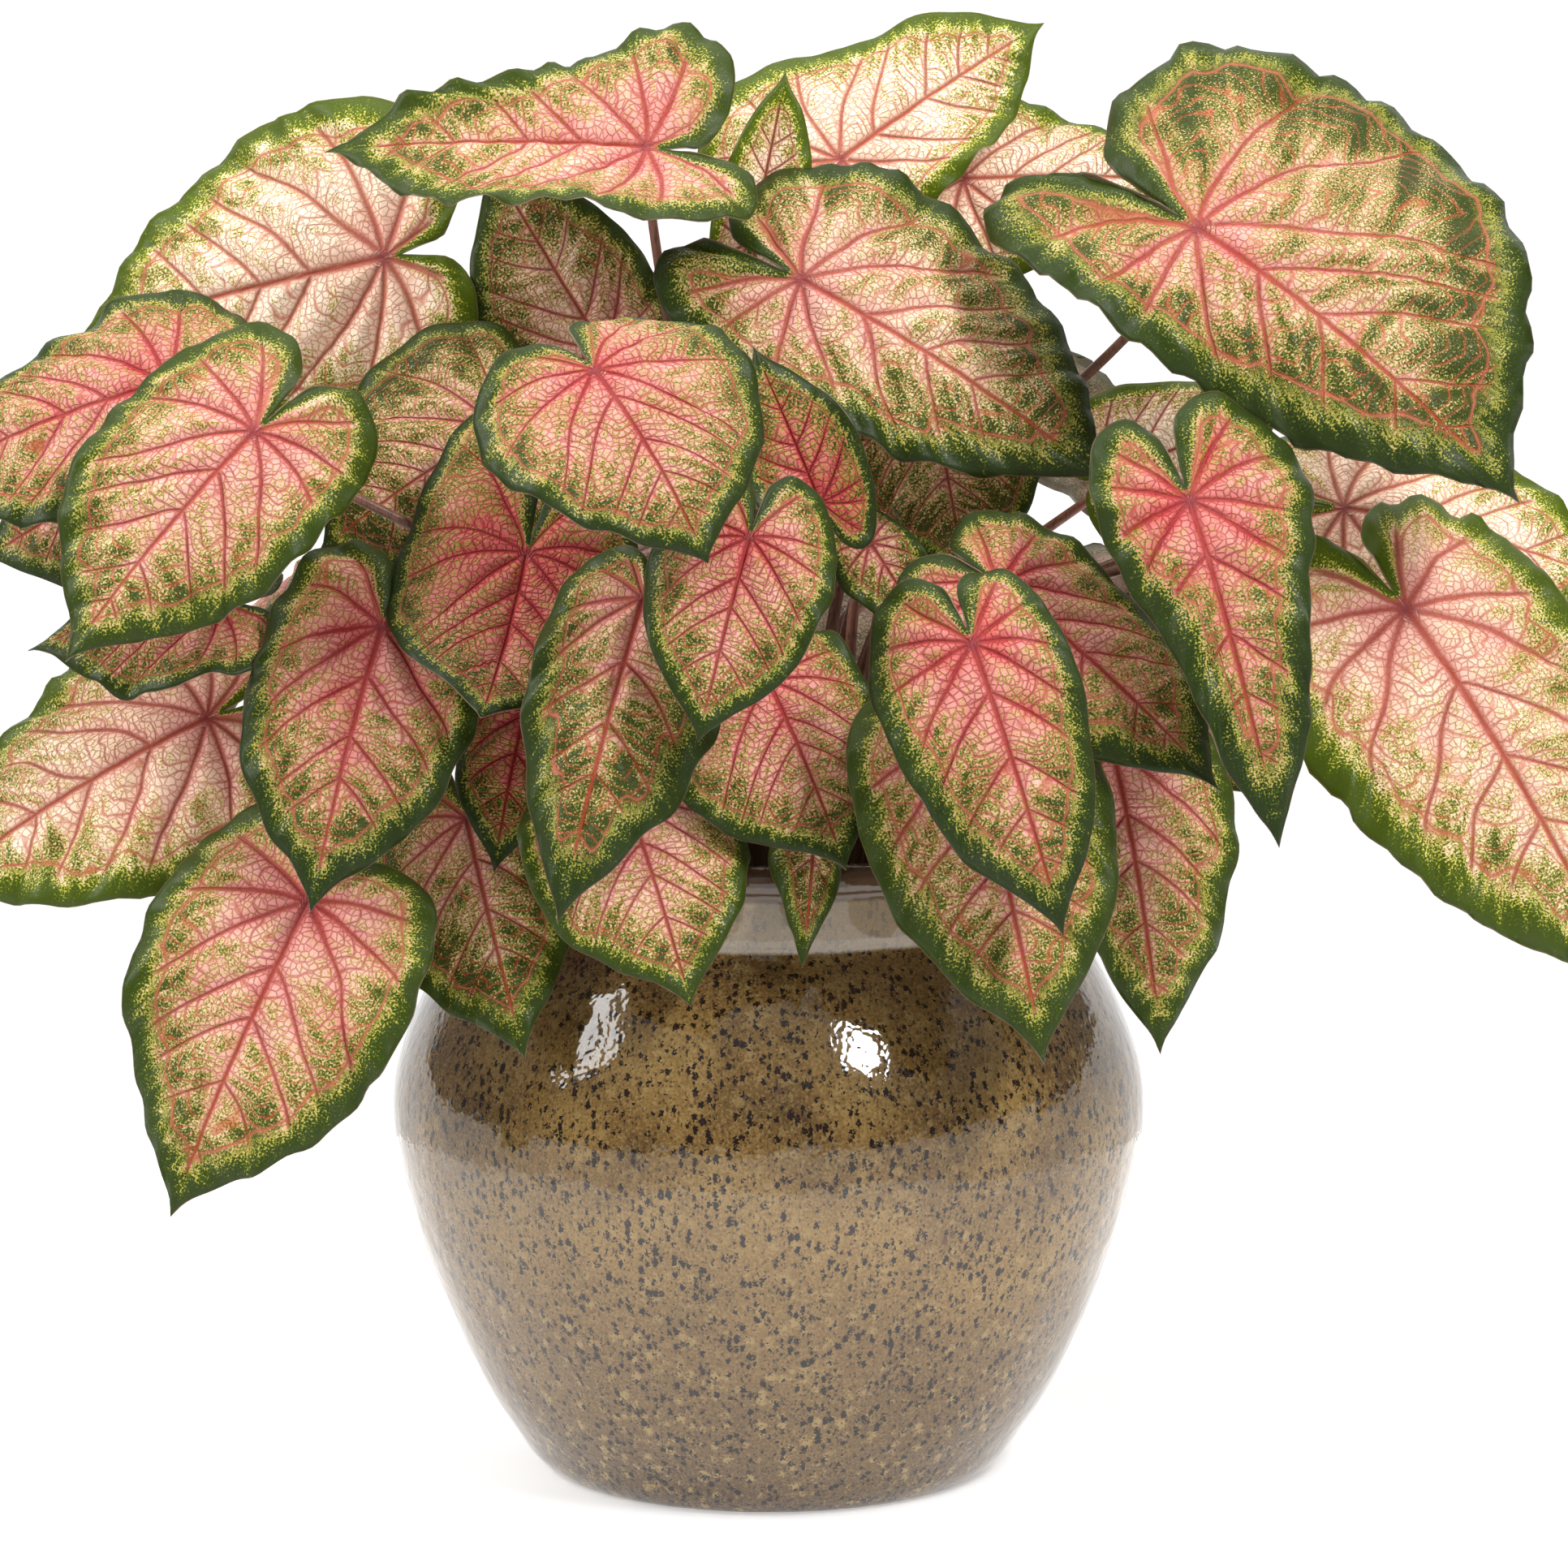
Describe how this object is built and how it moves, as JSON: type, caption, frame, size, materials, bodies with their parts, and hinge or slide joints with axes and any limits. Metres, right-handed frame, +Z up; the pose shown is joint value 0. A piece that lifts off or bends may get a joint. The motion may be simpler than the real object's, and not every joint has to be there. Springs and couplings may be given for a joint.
{
  "type": "caladium in a pot",
  "caption": "Caladium house plant with heart-shaped veined pink and green leaves in a round glazed stoneware pot.",
  "frame": {"origin": "middle of the pot's flat foot, on the surface it stands on", "axes": "+Z up along the pot's axis, -Y towards the side the picture shows, +X to its right"},
  "size_m": [0.6894, 0.4148, 0.5769],
  "materials": {
    "pot": "glossy",
    "soil": "matte",
    "leaf_01": "satin",
    "leaf_02": "satin",
    "leaf_03": "satin",
    "leaf_04": "satin",
    "leaf_05": "satin",
    "leaf_06": "satin",
    "leaf_07": "satin",
    "leaf_08": "satin",
    "leaf_09": "satin",
    "leaf_10": "satin",
    "leaf_11": "satin",
    "leaf_12": "satin",
    "leaf_13": "satin",
    "leaf_14": "satin",
    "leaf_15": "satin",
    "leaf_16": "satin",
    "leaf_17": "satin",
    "leaf_18": "satin",
    "leaf_19": "satin",
    "leaf_20": "satin",
    "leaf_21": "satin",
    "leaf_22": "satin",
    "leaf_23": "satin",
    "leaf_24": "satin",
    "leaf_25": "satin",
    "leaf_26": "satin",
    "leaf_27": "satin",
    "leaf_28": "satin",
    "leaf_29": "satin",
    "leaf_30": "satin",
    "leaf_31": "satin",
    "leaf_32": "satin",
    "leaf_33": "satin",
    "leaf_34": "satin",
    "leaf_35": "satin",
    "leaf_36": "satin",
    "leaf_37": "satin",
    "leaf_38": "satin",
    "leaf_39": "satin",
    "leaf_40": "satin",
    "leaf_41": "satin",
    "leaf_42": "satin",
    "leaf_43": "satin",
    "leaf_44": "satin",
    "leaf_45": "satin",
    "leaf_46": "satin",
    "leaf_47": "satin",
    "leaf_48": "satin",
    "leaf_49": "satin",
    "leaf_50": "satin",
    "leaf_51": "satin"
  },
  "bodies": {
    "root": {"pot": "pot", "soil": "soil", "leaf_01": "leaf_01", "leaf_02": "leaf_02", "leaf_03": "leaf_03", "leaf_04": "leaf_04", "leaf_05": "leaf_05", "leaf_06": "leaf_06", "leaf_07": "leaf_07", "leaf_08": "leaf_08", "leaf_09": "leaf_09", "leaf_10": "leaf_10", "leaf_11": "leaf_11", "leaf_12": "leaf_12", "leaf_13": "leaf_13", "leaf_14": "leaf_14", "leaf_15": "leaf_15", "leaf_16": "leaf_16", "leaf_17": "leaf_17", "leaf_18": "leaf_18", "leaf_19": "leaf_19", "leaf_20": "leaf_20", "leaf_21": "leaf_21", "leaf_22": "leaf_22", "leaf_23": "leaf_23", "leaf_24": "leaf_24", "leaf_25": "leaf_25", "leaf_26": "leaf_26", "leaf_27": "leaf_27", "leaf_28": "leaf_28", "leaf_29": "leaf_29", "leaf_30": "leaf_30", "leaf_31": "leaf_31", "leaf_32": "leaf_32", "leaf_33": "leaf_33", "leaf_34": "leaf_34", "leaf_35": "leaf_35", "leaf_36": "leaf_36", "leaf_37": "leaf_37", "leaf_38": "leaf_38", "leaf_39": "leaf_39", "leaf_40": "leaf_40", "leaf_41": "leaf_41", "leaf_42": "leaf_42", "leaf_43": "leaf_43", "leaf_44": "leaf_44", "leaf_45": "leaf_45", "leaf_46": "leaf_46", "leaf_47": "leaf_47", "leaf_48": "leaf_48", "leaf_49": "leaf_49", "leaf_50": "leaf_50", "leaf_51": "leaf_51"}
  },
  "joints": []
}
